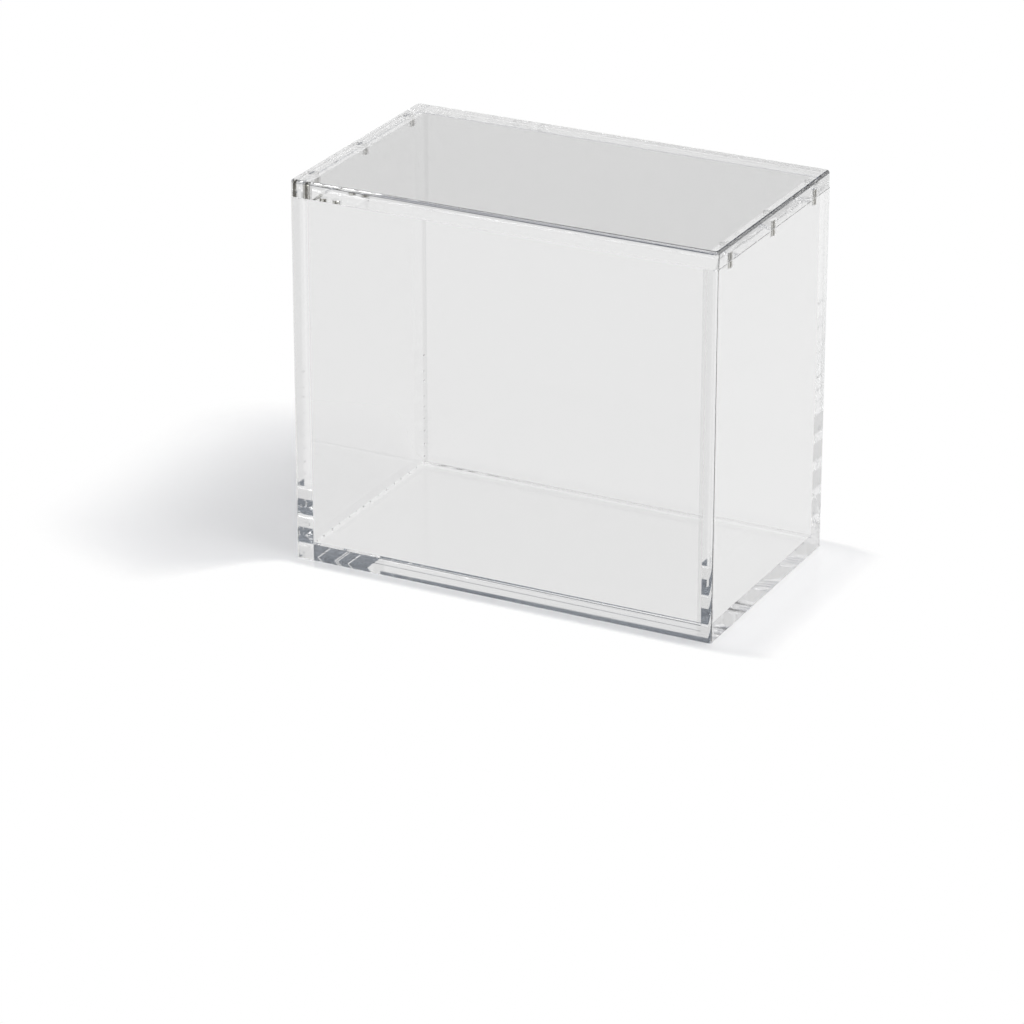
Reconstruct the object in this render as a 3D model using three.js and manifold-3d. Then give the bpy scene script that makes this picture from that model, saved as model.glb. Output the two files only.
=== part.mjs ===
// Clear acrylic display case with a flat lift-off lid that magnets hold on.
// Five sheets are glued edge to edge into an open box, and the lid is one loose sheet.
// Millimetres, +Z up. The front is -Y, and the origin is the middle of the footprint on the table.

import * as THREE from 'three';
import { mergeVertices } from 'three/addons/utils/BufferGeometryUtils.js';
import Module from 'manifold-3d';

const wasm = await Module();
wasm.setup();

// Overall sizes with the lid on
const WIDTH = 155;
const DEPTH = 90;
const HEIGHT = 136;

// Sheet thicknesses
const WALL_THICKNESS = 5;
const BASE_THICKNESS = 5.4;
const LID_THICKNESS = 6;

// Edge finish: a fine polished flat on the level edges, and rounded upright corners and lid top
const ARRIS = 0.1;
const WALL_CORNER_RADIUS = 1;
const LID_CORNER_RADIUS = 1.6;
const LID_TOP_ROUND = 1;
const CORNER_STEPS = 8;
const TOP_ROUND_STEPS = 7;

// Disc magnets, one row along each short side, glued into blind holes that meet at the seam
const MAGNET_DIAMETER = 4;
const MAGNET_HEIGHT = 2.5;
const MAGNET_EDGE_BREAK = 0.2;
const MAGNETS_PER_SIDE = 3;
const MAGNET_END_DISTANCE = 11.5;
const MAGNET_SINK = 0.1;
const POCKET_CLEARANCE = 0.1;
const ROUND_SEGMENTS = 32;

// Air film between the lid and the rim
const SEAM_GAP = 0.1;

// Places that follow from the sizes
const BODY_HEIGHT = HEIGHT - LID_THICKNESS - SEAM_GAP;
const HALF_WIDTH = WIDTH / 2;
const HALF_DEPTH = DEPTH / 2;
const INNER_HALF_WIDTH = HALF_WIDTH - WALL_THICKNESS;
const INNER_HALF_DEPTH = HALF_DEPTH - WALL_THICKNESS;
const MAGNET_X = HALF_WIDTH - WALL_THICKNESS / 2;
const MAGNET_FIRST_Y = MAGNET_END_DISTANCE - HALF_DEPTH;
const MAGNET_PITCH = (DEPTH - 2 * MAGNET_END_DISTANCE) / (MAGNETS_PER_SIDE - 1);
const POCKET_RADIUS = MAGNET_DIAMETER / 2 + POCKET_CLEARANCE;
const POCKET_DEPTH = MAGNET_SINK + MAGNET_HEIGHT + POCKET_CLEARANCE;

const acrylic = new THREE.MeshStandardMaterial({
  color: 0xf4f6f7,
  roughness: 0.04,
  metalness: 0,
  transparent: true,
  opacity: 0.25,
});
const nickel = new THREE.MeshStandardMaterial({ color: 0xb9bbbd, roughness: 0.22, metalness: 1 });

// Skins a stack of convex outlines, given from the bottom up, each counter-clockwise from above.
function loft(outlines) {
  const count = outlines[0].length;
  const points = outlines.flat();
  const top = (outlines.length - 1) * count;
  const triangles = [];
  for (let layer = 0; layer < outlines.length - 1; layer += 1) {
    for (let i = 0; i < count; i += 1) {
      const a = layer * count + i;
      const b = layer * count + ((i + 1) % count);
      triangles.push(a, b, b + count, a, b + count, a + count);
    }
  }
  for (let i = 1; i < count - 1; i += 1) {
    triangles.push(0, i + 1, i);
    triangles.push(top, top + i, top + i + 1);
  }
  const geometry = new THREE.BufferGeometry().setFromPoints(points);
  geometry.setIndex(triangles);
  return geometry;
}

// Points of a rounded corner, counter-clockwise from the start angle. The sharp corner would lie at x, y.
function cornerArc(x, y, start, radius, z) {
  const centreX = x - Math.sign(Math.cos(start + Math.PI / 4)) * radius;
  const centreY = y - Math.sign(Math.sin(start + Math.PI / 4)) * radius;
  return Array.from({ length: CORNER_STEPS + 1 }, (_, i) => {
    const angle = start + (i / CORNER_STEPS) * (Math.PI / 2);
    return new THREE.Vector3(centreX + radius * Math.cos(angle), centreY + radius * Math.sin(angle), z);
  });
}

// Outline of a sheet whose named sides are drawn in, with a rounded corner between each two of them.
function sheetOutline(box, exposed, cornerRadius, inset, z) {
  const left = box.min.x + (exposed.left ? inset : 0);
  const right = box.max.x - (exposed.right ? inset : 0);
  const front = box.min.y + (exposed.front ? inset : 0);
  const back = box.max.y - (exposed.back ? inset : 0);
  const corners = [
    { x: left, y: front, start: Math.PI, rounded: exposed.left && exposed.front },
    { x: right, y: front, start: -Math.PI / 2, rounded: exposed.front && exposed.right },
    { x: right, y: back, start: 0, rounded: exposed.right && exposed.back },
    { x: left, y: back, start: Math.PI / 2, rounded: exposed.back && exposed.left },
  ];
  return corners.flatMap(({ x, y, start, rounded }) => (
    rounded ? cornerArc(x, y, start, cornerRadius - inset, z) : [new THREE.Vector3(x, y, z)]
  ));
}

// A flat sheet with a polished flat along the top and bottom edge of each exposed side.
function sheetGeometry(min, max, exposed = {}) {
  const box = new THREE.Box3(new THREE.Vector3(...min), new THREE.Vector3(...max));
  const outline = (inset, z) => sheetOutline(box, exposed, WALL_CORNER_RADIUS, inset, z);
  return loft([
    outline(ARRIS, box.min.z),
    outline(0, box.min.z + ARRIS),
    outline(0, box.max.z - ARRIS),
    outline(ARRIS, box.max.z),
  ]);
}

// The lid sheet, with its underside at z = 0 and all four sides exposed.
function lidGeometry() {
  const box = new THREE.Box3(
    new THREE.Vector3(-HALF_WIDTH, -HALF_DEPTH, 0),
    new THREE.Vector3(HALF_WIDTH, HALF_DEPTH, LID_THICKNESS),
  );
  const exposed = { left: true, right: true, front: true, back: true };
  const outline = (inset, z) => sheetOutline(box, exposed, LID_CORNER_RADIUS, inset, z);
  const outlines = [outline(ARRIS, 0), outline(0, ARRIS)];
  for (let step = 0; step <= TOP_ROUND_STEPS; step += 1) {
    const angle = (step / TOP_ROUND_STEPS) * (Math.PI / 2);
    const inset = LID_TOP_ROUND * (1 - Math.cos(angle));
    const z = LID_THICKNESS - LID_TOP_ROUND * (1 - Math.sin(angle));
    outlines.push(outline(inset, z));
  }
  return loft(outlines);
}

function solidOf(geometry) {
  const bare = geometry.clone();
  bare.deleteAttribute('normal');
  bare.deleteAttribute('uv');
  const merged = mergeVertices(bare);
  return new wasm.Manifold(new wasm.Mesh({
    numProp: 3,
    vertProperties: new Float32Array(merged.attributes.position.array),
    triVerts: new Uint32Array(merged.index.array),
  }));
}

function geometryOf(solid) {
  const { vertProperties, triVerts } = solid.getMesh();
  const geometry = new THREE.BufferGeometry();
  geometry.setAttribute('position', new THREE.BufferAttribute(vertProperties, 3));
  geometry.setIndex(new THREE.BufferAttribute(triVerts, 1));
  return geometry;
}

// Drills one blind magnet hole at each place, centred on the height of the face that it opens through.
function drillPockets(geometry, places, faceZ) {
  let solid = solidOf(geometry);
  for (const { x, y } of places) {
    const drill = new THREE.CylinderGeometry(POCKET_RADIUS, POCKET_RADIUS, 2 * POCKET_DEPTH, ROUND_SEGMENTS);
    drill.rotateX(Math.PI / 2);
    drill.translate(x, y, faceZ);
    solid = solid.subtract(solidOf(drill));
  }
  return geometryOf(solid);
}

// A disc magnet standing on z = 0, with its plated rims broken.
function magnetGeometry() {
  const radius = MAGNET_DIAMETER / 2;
  const profile = [
    new THREE.Vector2(0, 0),
    new THREE.Vector2(radius - MAGNET_EDGE_BREAK, 0),
    new THREE.Vector2(radius, MAGNET_EDGE_BREAK),
    new THREE.Vector2(radius, MAGNET_HEIGHT - MAGNET_EDGE_BREAK),
    new THREE.Vector2(radius - MAGNET_EDGE_BREAK, MAGNET_HEIGHT),
    new THREE.Vector2(0, MAGNET_HEIGHT),
  ];
  return new THREE.LatheGeometry(profile, ROUND_SEGMENTS).rotateX(Math.PI / 2);
}

// Places of the magnets on one side, numbered from the front.
function magnetPlaces(sideSign) {
  return Array.from({ length: MAGNETS_PER_SIDE }, (_, i) => ({
    number: i + 1,
    x: sideSign * MAGNET_X,
    y: MAGNET_FIRST_Y + i * MAGNET_PITCH,
  }));
}

function addMesh(group, name, geometry, material) {
  const mesh = new THREE.Mesh(geometry, material);
  mesh.name = name;
  group.add(mesh);
  return mesh;
}

function addMagnets(group, rowName, places, z) {
  for (const { number, x, y } of places) {
    addMesh(group, `${rowName}_${number}`, magnetGeometry(), nickel).position.set(x, y, z);
  }
}

const SIDES = [
  { name: 'left', sign: -1 },
  { name: 'right', sign: 1 },
];

// The base lies inside the four walls.
function addBase(group) {
  const min = [-INNER_HALF_WIDTH, -INNER_HALF_DEPTH, 0];
  const max = [INNER_HALF_WIDTH, INNER_HALF_DEPTH, BASE_THICKNESS];
  addMesh(group, 'base_panel', sheetGeometry(min, max), acrylic);
}

// The front and back sheets stand between the two side walls.
function addFrontAndBack(group) {
  const front = sheetGeometry(
    [-INNER_HALF_WIDTH, -HALF_DEPTH, 0],
    [INNER_HALF_WIDTH, -INNER_HALF_DEPTH, BODY_HEIGHT],
    { front: true },
  );
  const back = sheetGeometry(
    [-INNER_HALF_WIDTH, INNER_HALF_DEPTH, 0],
    [INNER_HALF_WIDTH, HALF_DEPTH, BODY_HEIGHT],
    { back: true },
  );
  addMesh(group, 'front_panel', front, acrylic);
  addMesh(group, 'back_panel', back, acrylic);
}

// Each side wall runs the full depth and carries a row of magnets in its top edge.
function addSideWall(group, { name, sign }) {
  const edges = [sign * INNER_HALF_WIDTH, sign * HALF_WIDTH].sort((a, b) => a - b);
  const wall = sheetGeometry(
    [edges[0], -HALF_DEPTH, 0],
    [edges[1], HALF_DEPTH, BODY_HEIGHT],
    { left: sign < 0, right: sign > 0, front: true, back: true },
  );
  const places = magnetPlaces(sign);
  addMesh(group, `${name}_panel`, drillPockets(wall, places, BODY_HEIGHT), acrylic);
  addMagnets(group, `${name}_wall_magnet`, places, BODY_HEIGHT - MAGNET_SINK - MAGNET_HEIGHT);
}

function buildBody() {
  const body = new THREE.Group();
  addBase(body);
  addFrontAndBack(body);
  SIDES.forEach((side) => addSideWall(body, side));
  return body;
}

function buildLid() {
  const lid = new THREE.Group();
  const rows = SIDES.map(({ name, sign }) => ({ name, places: magnetPlaces(sign) }));
  const places = rows.flatMap((row) => row.places);
  addMesh(lid, 'lid_panel', drillPockets(lidGeometry(), places, 0), acrylic);
  rows.forEach((row) => addMagnets(lid, `${row.name}_lid_magnet`, row.places, MAGNET_SINK));
  lid.position.z = BODY_HEIGHT + SEAM_GAP;
  return lid;
}

const displayCase = new THREE.Group();
displayCase.add(buildBody(), buildLid());

export default displayCase;
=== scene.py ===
"""Looks of a clear acrylic display case with a lift-off lid that magnets hold on.

Every sheet is polished clear acrylic, though some of its faces are tinted lighter or darker as painted light
and shade.
Glued joints let light straight through, as solvent cement does, so the case shows the bright and dark blocks
that real edge-glued acrylic shows. Some dark blocks are painted shade, from the dark tint of the dry parts
of the base's joints.
"""

import math
import random

import bmesh
import bpy
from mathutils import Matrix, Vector


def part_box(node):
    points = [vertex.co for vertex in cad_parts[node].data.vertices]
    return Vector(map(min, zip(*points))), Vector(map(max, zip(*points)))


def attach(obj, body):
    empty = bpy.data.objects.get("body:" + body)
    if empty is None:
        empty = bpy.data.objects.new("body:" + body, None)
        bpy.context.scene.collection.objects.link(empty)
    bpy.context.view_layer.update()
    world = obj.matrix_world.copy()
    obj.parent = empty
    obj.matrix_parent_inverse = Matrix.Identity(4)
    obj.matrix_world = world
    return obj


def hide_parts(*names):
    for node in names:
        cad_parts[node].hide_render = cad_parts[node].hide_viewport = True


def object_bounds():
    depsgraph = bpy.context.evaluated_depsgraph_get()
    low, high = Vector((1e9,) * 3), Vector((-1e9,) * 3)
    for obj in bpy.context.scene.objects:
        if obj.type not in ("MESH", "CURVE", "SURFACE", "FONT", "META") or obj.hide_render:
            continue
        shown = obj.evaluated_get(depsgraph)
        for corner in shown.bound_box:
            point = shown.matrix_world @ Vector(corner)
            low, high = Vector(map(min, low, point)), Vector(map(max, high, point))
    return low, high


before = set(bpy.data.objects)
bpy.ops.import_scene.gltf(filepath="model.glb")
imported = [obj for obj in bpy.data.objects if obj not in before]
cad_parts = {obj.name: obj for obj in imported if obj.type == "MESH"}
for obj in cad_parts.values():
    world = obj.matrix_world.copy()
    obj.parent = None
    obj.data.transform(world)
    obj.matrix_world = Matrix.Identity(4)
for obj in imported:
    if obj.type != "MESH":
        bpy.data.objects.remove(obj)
CAD_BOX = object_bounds()

# Millimetre and micrometre in the frame's metres
MM = 0.001
MICRON = 0.001 * MM

# Places of the glued joints, from the frame, and how near to one counts as on it
INNER_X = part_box("right_panel")[0].x
INNER_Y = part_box("back_panel")[0].y
FLOOR_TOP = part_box("base_panel")[1].z
TOUCH = 0.01 * MM

# Planes along the inner faces of the walls: a point and a normal each
WIDTH_CUTS = [(Vector((side * INNER_X, 0, 0)), Vector((1, 0, 0))) for side in (-1, 1)]
DEPTH_CUTS = [(Vector((0, side * INNER_Y, 0)), Vector((0, 1, 0))) for side in (-1, 1)]

# Bands, low and high, of the base's front and back joints that the cement has not wetted and that are tinted
# dark as painted shade, and their air film
BACK_DRY_BANDS = ((2.5 * MM, FLOOR_TOP),)
FRONT_DRY_BANDS = ((2.3 * MM, 2.45 * MM), (4.3 * MM, 4.55 * MM))
DRY_FILM = 0.03 * MM

# Dry patch at the left end of the front joint, tinted dark as painted shade and crossed by slanting threads
# of cement: places along the joint
PATCH_ORIGIN = Vector((-INNER_X, 0, 0))
PATCH_SLANT = Vector((0.88, 0, -1))
PATCH_TOP = 4.3 * MM
PATCH_END = 18.2 * MM
PATCH_THREADS = (1.2 * MM, 7.0 * MM, 7.8 * MM, 11.5 * MM)
THREAD_WIDTH = 0.45 * MM

# Air bubbles along the inner edges of two of the left wall's joints: spacing, half sizes, and how the sizes
# and the places in each step of the row vary
BUBBLE_PITCH_UP = 4.6 * MM
BUBBLE_TOP = 48 * MM
BUBBLE_PITCH_BASE = 5.5 * MM
BUBBLE_THIN = 0.25 * MM
BUBBLE_LONG = 1.1 * MM
BUBBLE_SHORT = 0.4 * MM
BUBBLE_INSET = 1.5 * MM
BUBBLE_SIZES = (0.6, 1.2)
BUBBLE_STEPS = (0.3, 0.7)
BUBBLE_FINENESS = 3
BUBBLE_SEED = 7

# Grain of the finishes: detail, the range that its noise mostly keeps to, waves per metre, and relief
GRAIN_DETAIL = 4
GRAIN_RANGE = (0.3, 0.7)
SMUDGE_SCALE = 60
SMUDGE_RELIEF = 0.5 * MICRON
SAW_SCALE = 1500
SAW_RELIEF = 1 * MICRON
TABLE_GRAIN = 400
TABLE_RELIEF = 1 * MICRON

# Acrylic: bending of light, and colour and roughness of its finishes
ACRYLIC_IOR = 1.49
ACRYLIC_COLOUR = (0.89, 0.89, 0.89, 1)
ACRYLIC_ROUGHNESS = (0, 0.03)
# Clearer tint of the rims: painted light
RIM_PAINTED_LIGHT_COLOUR = (1, 1, 1, 1)
# Greyer tint of the ends: painted shade
END_PAINTED_SHADE_COLOUR = (0.73, 0.73, 0.73, 1)
# Greyer tint of the lid: painted shade
LID_PAINTED_SHADE_COLOUR = (0.8, 0.8, 0.8, 1)
# Still greyer tint of the lid's underside: painted shade
LID_UNDER_PAINTED_SHADE_COLOUR = (0.61, 0.61, 0.61, 1)
# Dark bluish tint of the dry joints: painted shade
DRY_PAINTED_SHADE_COLOUR = (0.07, 0.085, 0.11, 1)
DRY_ROUGHNESS = (0.03, 0.07)
# Near-black tint of the lid's edge line: painted shade
PAINTED_LINE_COLOUR = (0.05, 0.055, 0.065, 1)
PAINTED_LINE_ROUGHNESS = (0, 0.02)

# Nickel of the magnets: tones of the painted reflection streaks and of the flat ends, number, sharpness and
# waver of the streaks, tilt at which a flat end begins, and grain
# Dark and bright streak tones: painted reflections
NICKEL_REFLECTION_DARK = (0.16, 0.15, 0.12, 1)
NICKEL_REFLECTION_BRIGHT = (0.85, 0.84, 0.8, 1)
NICKEL_END = (0.86, 0.86, 0.85, 1)
REFLECTION_STREAKS = 7
REFLECTION_STREAK_EDGE = (-0.4, 0.6)
REFLECTION_STREAK_WAVER = 0.4
END_TILT = (0.8, 0.95)
NICKEL_GRAIN = 900
NICKEL_ROUGHNESS = (0.12, 0.24)
NICKEL_METALLIC = 0.8

# Finishes of a glued sheet's faces and of the lid's faces, in the order of their materials
POLISHED, BONDED, DRY, RIM, END = range(5)
LID_FACE, LID_PAINTED_LINE, LID_RIM, LID_UNDER = range(4)

# Upward tilt of the lid's lowest rounded faces, which carry a painted dark line of shade where they face
# front or right
PAINTED_LINE_TILT = (0.03, 0.3)
PAINTED_LINE_FACING = 0.5

# A face whose normal reaches this far along an axis is square to it
SQUARE = 0.9

# Copying of a node's shape: points this near are one, and edges that bend more than this stay sharp
WELD = 1 * MICRON
SHARP_ANGLE = math.radians(25)
FLAT_FACE_WEIGHT = 100

# Table: white, keeping the shadow of the case on its left and round its foot, and plain white elsewhere.
# The reaches are how far out the shadow is kept on each side, and only part of it shows through the sheets
TABLE_SIZE = 12.0
TABLE_GAP = 0.1 * MM
TABLE_COLOUR = (0.84, 0.84, 0.84, 1)
TABLE_IOR = 1.8
TABLE_ROUGHNESS = (0.04, 0.08)
SHADOW_BEGINS = -1 * MM
SHADOW_EDGE = 2 * MM
SHADOW_LEFT = 105 * MM
SHADOW_RIGHT = 25 * MM
SHADOW_FRONT = 6 * MM
SHADOW_BACK = 6 * MM
SHADOW_WIDENS = 45 * MM
SHADOW_FADES = 0.15
SHADOW_THROUGH = 0.2

# Camera, as the photograph was taken
CAMERA_AZIMUTH = math.radians(26.95)
CAMERA_ELEVATION = math.radians(23.37)
CAMERA_DISTANCE = 1.5685
CAMERA_AIM_HEIGHT = 0.0679
CAMERA_SLIDE_RIGHT = -0.0162
CAMERA_SLIDE_UP = -0.049
CAMERA_LENS = 164.2

# Surroundings: a pale sweep, brighter towards the back right, a dim room above it, a wall of soft light on
# the right, a soft light overhead and a key light high on the right
SWEEP_TOP = math.radians(26)
SWEEP_EDGE = math.radians(1.5)
SWEEP_DIM = 0.7
SWEEP_BRIGHT = 0.86
SWEEP_AZIMUTH = math.radians(40)
SWEEP_TURN = (-0.9, 0.3)
ROOM_COLOUR = (0.07, 0.085, 0.14, 1)
SOFT_WALL = (0.95, 0.95, 0.95, 1)
SOFT_WALL_EDGE = (0, 0.5)
OVERHEAD = (0.9, 0.9, 0.9, 1)
OVERHEAD_HEIGHT = math.radians(56)
KEY = (7, 7, 7, 1)
KEY_AZIMUTH = math.radians(90)
KEY_HEIGHT = math.radians(64)
KEY_HALF_ANGLE = math.radians(14)
LAMP_EDGE = math.radians(3)

# Light bounces, in all and through or along the acrylic
ALL_BOUNCES = 48
ACRYLIC_BOUNCES = 40

# Sockets by which a Mix node takes and gives colours
MIX_FIRST, MIX_SECOND, MIX_RESULT = 6, 7, 2


def feed(tree, socket, value):
    """Gives a socket another node's result or a fixed value."""
    if isinstance(value, bpy.types.NodeSocket):
        tree.links.new(value, socket)
    else:
        socket.default_value = value


def calculate(tree, operation, first, second=0):
    """A Math node's result, from numbers or other nodes' results."""
    node = tree.nodes.new("ShaderNodeMath")
    node.operation = operation
    feed(tree, node.inputs[0], first)
    feed(tree, node.inputs[1], second)
    return node.outputs["Value"]


def along(tree, vector, direction):
    """How far a vector reaches along a fixed direction."""
    node = tree.nodes.new("ShaderNodeVectorMath")
    node.operation = "DOT_PRODUCT"
    feed(tree, node.inputs[0], vector)
    feed(tree, node.inputs[1], direction)
    return node.outputs["Value"]


def ramp(tree, value, low, high, start=0, end=1):
    """Takes a value smoothly from start at low to end at high."""
    node = tree.nodes.new("ShaderNodeMapRange")
    node.interpolation_type = "SMOOTHSTEP"
    feed(tree, node.inputs["Value"], value)
    for name, number in (("From Min", low), ("From Max", high), ("To Min", start), ("To Max", end)):
        feed(tree, node.inputs[name], number)
    return node.outputs["Result"]


def mix_colour(tree, factor, first, second):
    """A colour between two others, each a fixed colour or another node's result."""
    node = tree.nodes.new("ShaderNodeMix")
    node.data_type = "RGBA"
    feed(tree, node.inputs["Factor"], factor)
    feed(tree, node.inputs[MIX_FIRST], first)
    feed(tree, node.inputs[MIX_SECOND], second)
    return node.outputs[MIX_RESULT]


def make_material(name):
    """A new material with a Principled shader, returned with that shader's node."""
    material = bpy.data.materials.new(name)
    material.use_nodes = True
    return material, material.node_tree.nodes["Principled BSDF"]


def add_grain(tree, shader, scale, roughness, relief):
    """Fine uneven gloss and relief from a noise texture in the piece's own space."""
    noise = tree.nodes.new("ShaderNodeTexNoise")
    noise.inputs["Scale"].default_value = scale
    noise.inputs["Detail"].default_value = GRAIN_DETAIL
    place = tree.nodes.new("ShaderNodeTexCoord").outputs["Object"]
    tree.links.new(place, noise.inputs["Vector"])
    gloss = ramp(tree, noise.outputs["Fac"], *GRAIN_RANGE, *roughness)
    tree.links.new(gloss, shader.inputs["Roughness"])
    bump = tree.nodes.new("ShaderNodeBump")
    bump.inputs["Distance"].default_value = relief
    tree.links.new(noise.outputs["Fac"], bump.inputs["Height"])
    tree.links.new(bump.outputs["Normal"], shader.inputs["Normal"])


def glass_material(name, colour, scale, roughness, relief):
    """Clear or tinted acrylic with a fine grain."""
    material, shader = make_material(name)
    shader.inputs["Base Color"].default_value = colour
    shader.inputs["Transmission Weight"].default_value = 1
    shader.inputs["IOR"].default_value = ACRYLIC_IOR
    add_grain(material.node_tree, shader, scale, roughness, relief)
    return material


def polished_material(name, colour):
    """Polished acrylic that is very slightly wavy and smudged."""
    return glass_material(name, colour, SMUDGE_SCALE, ACRYLIC_ROUGHNESS, SMUDGE_RELIEF)


def acrylic_material():
    """Broad faces of the clear cast sheets."""
    return polished_material("clear_acrylic", ACRYLIC_COLOUR)


def rim_painted_light_material():
    """Level narrow edges of the walls and the lid's face above them, tinted clearer than the broad faces as
    painted light.
    """
    return polished_material("rim_painted_light", RIM_PAINTED_LIGHT_COLOUR)


def end_painted_shade_material():
    """Upright narrow ends of the side walls, tinted greyer than the broad faces as painted shade."""
    return polished_material("end_painted_shade", END_PAINTED_SHADE_COLOUR)


def lid_painted_shade_material():
    """Top and sides of the lid's thicker sheet, tinted a little greyer than the walls as painted shade."""
    return polished_material("lid_painted_shade", LID_PAINTED_SHADE_COLOUR)


def lid_under_painted_shade_material():
    """Underside of the lid within the walls, tinted the greyest of the polished faces as painted shade."""
    return polished_material("lid_underside_painted_shade", LID_UNDER_PAINTED_SHADE_COLOUR)


def dry_joint_painted_shade_material():
    """Sawn edge that the cement has not wetted, tinted dark and bluish as painted shade."""
    return glass_material("dry_joint_painted_shade", DRY_PAINTED_SHADE_COLOUR, SAW_SCALE, DRY_ROUGHNESS, SAW_RELIEF)


def painted_edge_line_material():
    """Fine dark line where the lid's rounded top edge runs into its side: painted shade."""
    return glass_material("painted_edge_shade", PAINTED_LINE_COLOUR, SAW_SCALE, PAINTED_LINE_ROUGHNESS, SAW_RELIEF)


def bond_material():
    """Solvent-cemented joint: the two sheets have grown together, so light passes straight on."""
    material, shader = make_material("cement_bond")
    tree = material.node_tree
    tree.nodes.remove(shader)
    clear = tree.nodes.new("ShaderNodeBsdfTransparent")
    tree.links.new(clear.outputs["BSDF"], tree.nodes["Material Output"].inputs["Surface"])
    return material


def nickel_and_painted_reflection_material():
    """Bright nickel plate of the magnets, with painted reflections as dark and bright streaks down the
    sides.
    """
    material, shader = make_material("nickel_plate")
    tree = material.node_tree
    geometry = tree.nodes.new("ShaderNodeNewGeometry")
    normal = geometry.outputs["Normal"]
    turn = calculate(tree, "ARCTAN2", along(tree, normal, (0, 1, 0)), along(tree, normal, (1, 0, 0)))
    grain = tree.nodes.new("ShaderNodeTexNoise")
    grain.inputs["Scale"].default_value = NICKEL_GRAIN
    tree.links.new(geometry.outputs["Position"], grain.inputs["Vector"])
    waver = calculate(tree, "MULTIPLY", grain.outputs["Fac"], REFLECTION_STREAK_WAVER)
    wave = calculate(tree, "SINE", calculate(tree, "MULTIPLY", calculate(tree, "ADD", turn, waver), REFLECTION_STREAKS))
    # Streaks round the sides are painted reflections
    painted_reflection = mix_colour(tree, ramp(tree, wave, *REFLECTION_STREAK_EDGE), NICKEL_REFLECTION_DARK, NICKEL_REFLECTION_BRIGHT)
    on_end = ramp(tree, calculate(tree, "ABSOLUTE", along(tree, normal, (0, 0, 1))), *END_TILT)
    tree.links.new(mix_colour(tree, on_end, painted_reflection, NICKEL_END), shader.inputs["Base Color"])
    gloss = ramp(tree, grain.outputs["Fac"], *GRAIN_RANGE, *NICKEL_ROUGHNESS)
    tree.links.new(gloss, shader.inputs["Roughness"])
    shader.inputs["Metallic"].default_value = NICKEL_METALLIC
    return material


def shadow_zone(tree):
    """1 on the table beside the case, where the shadow is kept, and 0 under the case and away from it."""
    place = tree.nodes.new("ShaderNodeNewGeometry").outputs["Position"]
    half_x, half_y = CAD_BOX[1].x, CAD_BOX[1].y
    leftward = along(tree, place, (-1, 0, 0))
    front_reach, back_reach = (
        ramp(tree, leftward, half_x, half_x + SHADOW_WIDENS, reach, reach + SHADOW_WIDENS)
        for reach in (SHADOW_FRONT, SHADOW_BACK)
    )
    sides = (
        ((-1, 0, 0), half_x, SHADOW_LEFT),
        ((1, 0, 0), half_x, SHADOW_RIGHT),
        ((0, -1, 0), half_y, front_reach),
        ((0, 1, 0), half_y, back_reach),
    )
    farthest, spread = -TABLE_SIZE, 0
    for direction, half, reach in sides:
        beyond = calculate(tree, "SUBTRACT", along(tree, place, direction), half)
        farthest = calculate(tree, "MAXIMUM", beyond, farthest)
        share = calculate(tree, "MAXIMUM", calculate(tree, "DIVIDE", beyond, reach), 0)
        spread = calculate(tree, "ADD", calculate(tree, "MULTIPLY", share, share), spread)
    outside = ramp(tree, farthest, SHADOW_BEGINS - SHADOW_EDGE, SHADOW_BEGINS)
    return calculate(tree, "MULTIPLY", outside, ramp(tree, spread, SHADOW_FADES, 1, 1, 0))


def table_material():
    """Glossy white table top that keeps the shadow beside the case and looks plain white elsewhere."""
    material, shader = make_material("white_table")
    tree = material.node_tree
    shader.inputs["Base Color"].default_value = TABLE_COLOUR
    shader.inputs["IOR"].default_value = TABLE_IOR
    add_grain(tree, shader, TABLE_GRAIN, TABLE_ROUGHNESS, TABLE_RELIEF)
    path = tree.nodes.new("ShaderNodeLightPath")
    through = calculate(tree, "MAXIMUM", path.outputs["Is Glossy Ray"], path.outputs["Is Transmission Ray"])
    shown = calculate(tree, "MULTIPLY", shadow_zone(tree), ramp(tree, through, 0, 1, 1, SHADOW_THROUGH))
    plain = calculate(tree, "SUBTRACT", 1, shown)
    seen = calculate(tree, "MAXIMUM", path.outputs["Is Camera Ray"], through)
    white = tree.nodes.new("ShaderNodeEmission")
    mix = tree.nodes.new("ShaderNodeMixShader")
    tree.links.new(calculate(tree, "MULTIPLY", plain, seen), mix.inputs["Fac"])
    tree.links.new(shader.outputs["BSDF"], mix.inputs[1])
    tree.links.new(white.outputs["Emission"], mix.inputs[2])
    tree.links.new(mix.outputs["Shader"], tree.nodes["Material Output"].inputs["Surface"])
    return material


def in_base_joint(point):
    """True on the base's joint with the front or the back sheet."""
    return abs(abs(point.y) - INNER_Y) < TOUCH and abs(point.x) < INNER_X and point.z < FLOOR_TOP


def in_patch(point):
    """True in the dry patch of the front joint, between its threads of cement."""
    reach = PATCH_SLANT.dot(point - PATCH_ORIGIN)
    in_thread = any(start < reach < start + THREAD_WIDTH for start in PATCH_THREADS)
    return reach < PATCH_END and point.z < PATCH_TOP and not in_thread


def is_dry(point):
    """True on a part of the base's front or back joint that the cement has not wetted, which is tinted dark
    as painted shade.
    """
    bands = BACK_DRY_BANDS if point.y > 0 else FRONT_DRY_BANDS
    in_band = any(low < point.z < high for low, high in bands)
    return in_base_joint(point) and (in_band or point.y < 0 and in_patch(point))


def is_bonded(point):
    """True on a face that is glued to another sheet."""
    at_side_wall = abs(abs(point.x) - INNER_X) < TOUCH
    return at_side_wall and (abs(point.y) > INNER_Y or point.z < FLOOR_TOP) or in_base_joint(point)


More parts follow.
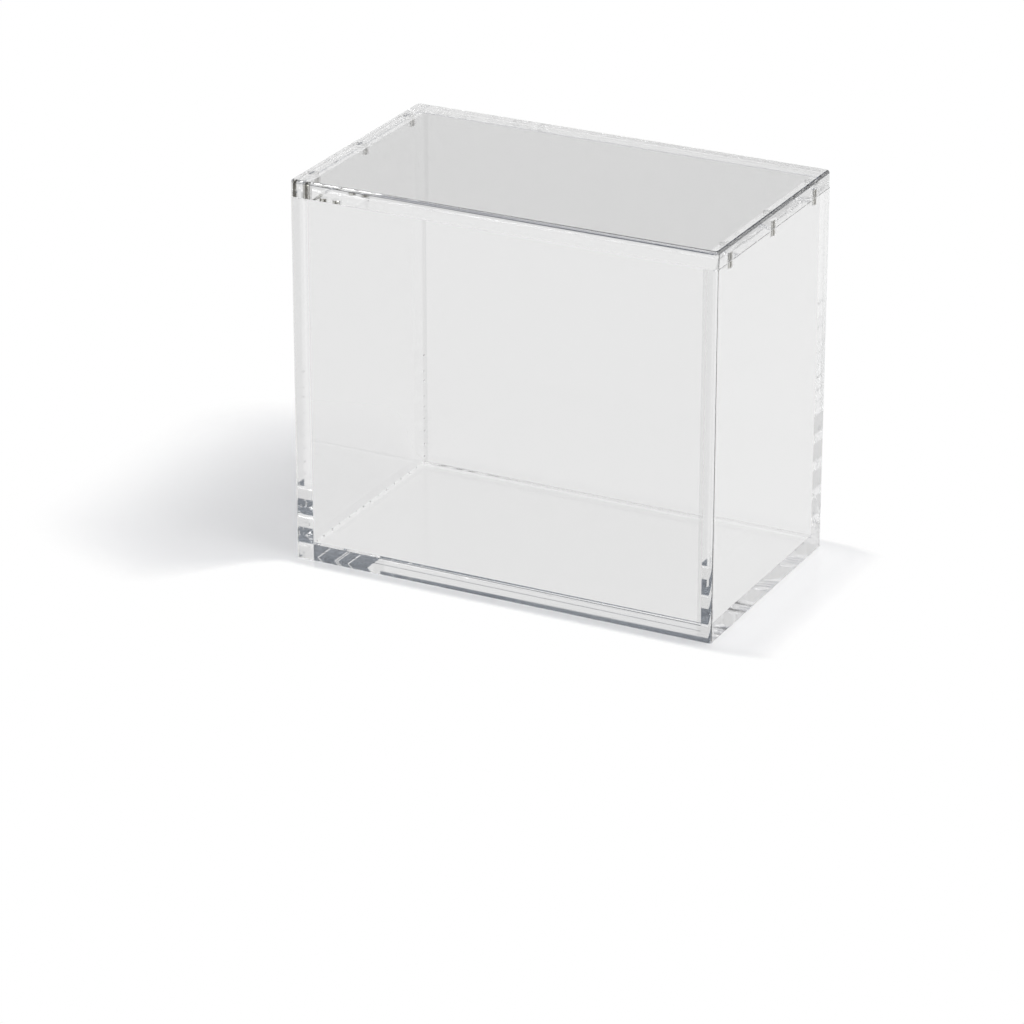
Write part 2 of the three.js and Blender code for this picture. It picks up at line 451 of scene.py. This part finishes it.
def sheet_finish(face):
    """Which of a glued sheet's finishes a face takes."""
    point = face.calc_center_median()
    # Dry parts take the dark tint of painted shade
    if is_dry(point):
        return DRY
    if is_bonded(point):
        return BONDED
    if abs(face.normal.z) > SQUARE and abs(point.z - FLOOR_TOP) > TOUCH:
        return RIM
    return END if abs(face.normal.y) > SQUARE and abs(point.x) > INNER_X else POLISHED


def lid_finish(face):
    """Which of the lid's finishes a face takes."""
    point, normal = face.calc_center_median(), face.normal
    # Front and right faces of the lowest rounding take the painted dark line
    if PAINTED_LINE_TILT[0] < normal.z < PAINTED_LINE_TILT[1] and max(normal.x, -normal.y) > PAINTED_LINE_FACING:
        return LID_PAINTED_LINE
    if -normal.z < SQUARE:
        return LID_FACE
    return LID_RIM if abs(point.x) > INNER_X or abs(point.y) > INNER_Y else LID_UNDER


def level_cut(height):
    """A level plane to split faces along: a point and a normal."""
    return Vector((0, 0, height)), Vector((0, 0, 1))


def dry_cuts():
    """Planes along the edges of the dry bands, the dry patch and its threads."""
    bands = [level_cut(height) for band in BACK_DRY_BANDS + FRONT_DRY_BANDS for height in band]
    thread_edges = [start + width for start in PATCH_THREADS for width in (0, THREAD_WIDTH)]
    steepness = PATCH_SLANT.length_squared
    slants = [
        (PATCH_ORIGIN + PATCH_SLANT * reach / steepness, PATCH_SLANT)
        for reach in (*thread_edges, PATCH_END)
    ]
    return bands + slants


def split(mesh, point, normal):
    """Splits the faces of the mesh along a plane."""
    everything = mesh.verts[:] + mesh.edges[:] + mesh.faces[:]
    bmesh.ops.bisect_plane(mesh, geom=everything, dist=TOUCH, plane_co=point, plane_no=normal)


def mesh_data(mesh, name, materials):
    """Turns a working mesh into mesh data that carries the materials."""
    data = bpy.data.meshes.new(name)
    mesh.to_mesh(data)
    mesh.free()
    for material in materials:
        data.materials.append(material)
    return data


def add_object(name, data):
    """An object in the scene that shows the data."""
    thing = bpy.data.objects.new(name, data)
    bpy.context.scene.collection.objects.link(thing)
    return thing


def finished_mesh(source, name, materials, finish, cuts):
    """A mesh with a node's own shape, welded, split along its joints and smooth on its rounded edges."""
    mesh = bmesh.new()
    mesh.from_mesh(source)
    bmesh.ops.remove_doubles(mesh, verts=mesh.verts, dist=WELD)
    for point, normal in cuts:
        split(mesh, point, normal)
    for face in mesh.faces:
        face.smooth = True
        if len(materials) > 1:
            face.material_index = finish(face)
    for edge in mesh.edges:
        edge.smooth = edge.calc_face_angle(math.pi) < SHARP_ANGLE
    return mesh_data(mesh, name, materials)


def add_piece(node, name, body, materials, finish=sheet_finish, cuts=()):
    """A finished copy of a node, riding on its body, with flat faces kept flat up to their rounded edges."""
    piece = add_object(name, finished_mesh(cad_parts[node].data, name, materials, finish, cuts))
    flatten = piece.modifiers.new("flat_faces", "WEIGHTED_NORMAL")
    flatten.keep_sharp = True
    flatten.weight = FLAT_FACE_WEIGHT
    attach(piece, body)
    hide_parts(node)
    return piece


def open_film(data):
    """Sets the dry faces of a sheet back from its neighbour by the air film."""
    mesh = bmesh.new()
    mesh.from_mesh(data)
    dry = [face for face in mesh.faces if face.material_index == DRY]
    for face in bmesh.ops.extrude_discrete_faces(mesh, faces=dry)["faces"]:
        bmesh.ops.translate(mesh, verts=face.verts, vec=-face.normal * DRY_FILM)
    mesh.to_mesh(data)
    mesh.free()


def add_case_sheets(acrylic, rim):
    """The five glued sheets, split where their joints and the dry parts of these begin and end."""
    bond = bond_material()
    joint_cuts = dry_cuts()
    base_finishes = [acrylic, bond, dry_joint_painted_shade_material(), acrylic, acrylic]
    base = add_piece("base_panel", "base_sheet", "case", base_finishes, cuts=joint_cuts)
    open_film(base.data)
    wall_finishes = [acrylic, bond, acrylic, rim, end_painted_shade_material()]
    walls = (("front", joint_cuts), ("back", joint_cuts), ("left", DEPTH_CUTS), ("right", DEPTH_CUTS))
    for side, side_cuts in walls:
        node, name = f"{side}_panel", f"{side}_sheet"
        cuts = [level_cut(FLOOR_TOP), *side_cuts]
        add_piece(node, name, "case", wall_finishes, cuts=cuts)


def add_lid(rim):
    """The lid sheet, split above the inner faces of the walls."""
    finishes = [lid_painted_shade_material(), painted_edge_line_material(), rim, lid_under_painted_shade_material()]
    cuts = WIDTH_CUTS + DEPTH_CUTS
    add_piece("lid_panel", "lid_sheet", "lid", finishes, lid_finish, cuts)


def add_bubble(mesh, place, half_sizes):
    """One flattened air bubble."""
    made = bmesh.ops.create_icosphere(mesh, subdivisions=BUBBLE_FINENESS, radius=1)["verts"]
    bmesh.ops.scale(mesh, vec=half_sizes, verts=made)
    bmesh.ops.translate(mesh, vec=place, verts=made)


def add_bubbles(acrylic):
    """Rows of bubbles along the left wall's joints with the back sheet and with the base.

    Their faces are turned inward, as those of a hollow in the acrylic are.
    """
    chance = random.Random(BUBBLE_SEED)
    mesh = bmesh.new()
    for step in range(int((BUBBLE_TOP - FLOOR_TOP) / BUBBLE_PITCH_UP)):
        size = chance.uniform(*BUBBLE_SIZES)
        z = FLOOR_TOP + (step + chance.uniform(*BUBBLE_STEPS)) * BUBBLE_PITCH_UP
        place = Vector((-INNER_X, INNER_Y + BUBBLE_INSET * size, z))
        add_bubble(mesh, place, Vector((BUBBLE_THIN, BUBBLE_LONG, BUBBLE_SHORT)) * size)
    for step in range(int(2 * INNER_Y / BUBBLE_PITCH_BASE)):
        size = chance.uniform(*BUBBLE_SIZES)
        y = -INNER_Y + (step + chance.uniform(*BUBBLE_STEPS)) * BUBBLE_PITCH_BASE
        place = Vector((-INNER_X, y, FLOOR_TOP - BUBBLE_INSET * size))
        add_bubble(mesh, place, Vector((BUBBLE_THIN, BUBBLE_SHORT, BUBBLE_LONG)) * size)
    bmesh.ops.reverse_faces(mesh, faces=mesh.faces)
    for face in mesh.faces:
        face.smooth = True
    piece = add_object("joint_bubbles", mesh_data(mesh, "joint_bubbles", [acrylic]))
    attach(piece, "case")


def add_magnets(nickel):
    """The disc magnets in the rim and in the lid."""
    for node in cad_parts:
        if "magnet" in node:
            body = "lid" if "lid" in node else "case"
            add_piece(node, node.replace("magnet", "disc"), body, [nickel])


def add_table():
    """The wide table top that the case stands on."""
    mesh = bmesh.new()
    bmesh.ops.create_grid(mesh, x_segments=1, y_segments=1, size=TABLE_SIZE / 2)
    table = add_object("table_top", mesh_data(mesh, "table_top", [table_material()]))
    table.location.z = -TABLE_GAP


def add_camera():
    """The camera at the photograph's viewing angle."""
    sine, cosine = math.sin(CAMERA_AZIMUTH), math.cos(CAMERA_AZIMUTH)
    level = math.cos(CAMERA_ELEVATION)
    back = Vector((sine * level, -cosine * level, math.sin(CAMERA_ELEVATION)))
    right = Vector((cosine, sine, 0))
    up = back.cross(right)
    camera = add_object("camera", bpy.data.cameras.new("camera"))
    camera.data.lens = CAMERA_LENS
    aim = Vector((0, 0, CAMERA_AIM_HEIGHT))
    camera.location = aim + back * CAMERA_DISTANCE + right * CAMERA_SLIDE_RIGHT + up * CAMERA_SLIDE_UP
    camera.rotation_mode = "QUATERNION"
    camera.rotation_quaternion = (-back).to_track_quat("-Z", "Y")
    bpy.context.scene.camera = camera


def facing(tree, direction, azimuth, height):
    """How nearly a direction points at a place in the surroundings, 1 when it does."""
    level = math.cos(height)
    return along(tree, direction, (math.sin(azimuth) * level, math.cos(azimuth) * level, math.sin(height)))


def above(tree, direction, height, edge):
    """1 above a height in the surroundings and 0 below it, with a soft edge."""
    upward = along(tree, direction, (0, 0, 1))
    return ramp(tree, upward, math.sin(height - edge), math.sin(height + edge))


def light_studio():
    """Pale sweep, dim room, soft wall on the right, soft light overhead and a key light."""
    world = bpy.data.worlds.new("studio")
    world.use_nodes = True
    tree = world.node_tree
    direction = tree.nodes.new("ShaderNodeTexCoord").outputs["Generated"]
    beside = ramp(tree, along(tree, direction, (1, 0, 0)), *SOFT_WALL_EDGE)
    room = mix_colour(tree, beside, ROOM_COLOUR, SOFT_WALL)
    toward_bright = facing(tree, direction, SWEEP_AZIMUTH, 0)
    sweep = ramp(tree, toward_bright, *SWEEP_TURN, SWEEP_DIM, SWEEP_BRIGHT)
    colour = mix_colour(tree, above(tree, direction, SWEEP_TOP, SWEEP_EDGE), sweep, room)
    colour = mix_colour(tree, above(tree, direction, OVERHEAD_HEIGHT, LAMP_EDGE), colour, OVERHEAD)
    toward_key = facing(tree, direction, KEY_AZIMUTH, KEY_HEIGHT)
    in_key = ramp(tree, toward_key, math.cos(KEY_HALF_ANGLE + LAMP_EDGE), math.cos(KEY_HALF_ANGLE))
    colour = mix_colour(tree, in_key, colour, KEY)
    tree.links.new(colour, tree.nodes["Background"].inputs["Color"])
    bpy.context.scene.world = world


def set_light_paths():
    """Lets light cross the many polished faces of the case and bounce along inside its edges."""
    cycles = bpy.context.scene.cycles
    cycles.max_bounces = ALL_BOUNCES
    cycles.glossy_bounces = ACRYLIC_BOUNCES
    cycles.transmission_bounces = ACRYLIC_BOUNCES
    cycles.transparent_max_bounces = ACRYLIC_BOUNCES
    cycles.blur_glossy = 0


acrylic = acrylic_material()
rim = rim_painted_light_material()
add_camera()
add_case_sheets(acrylic, rim)
add_lid(rim)
add_bubbles(acrylic)
add_magnets(nickel_and_painted_reflection_material())
add_table()
light_studio()
set_light_paths()
bpy.context.scene.view_settings.view_transform = "Standard"
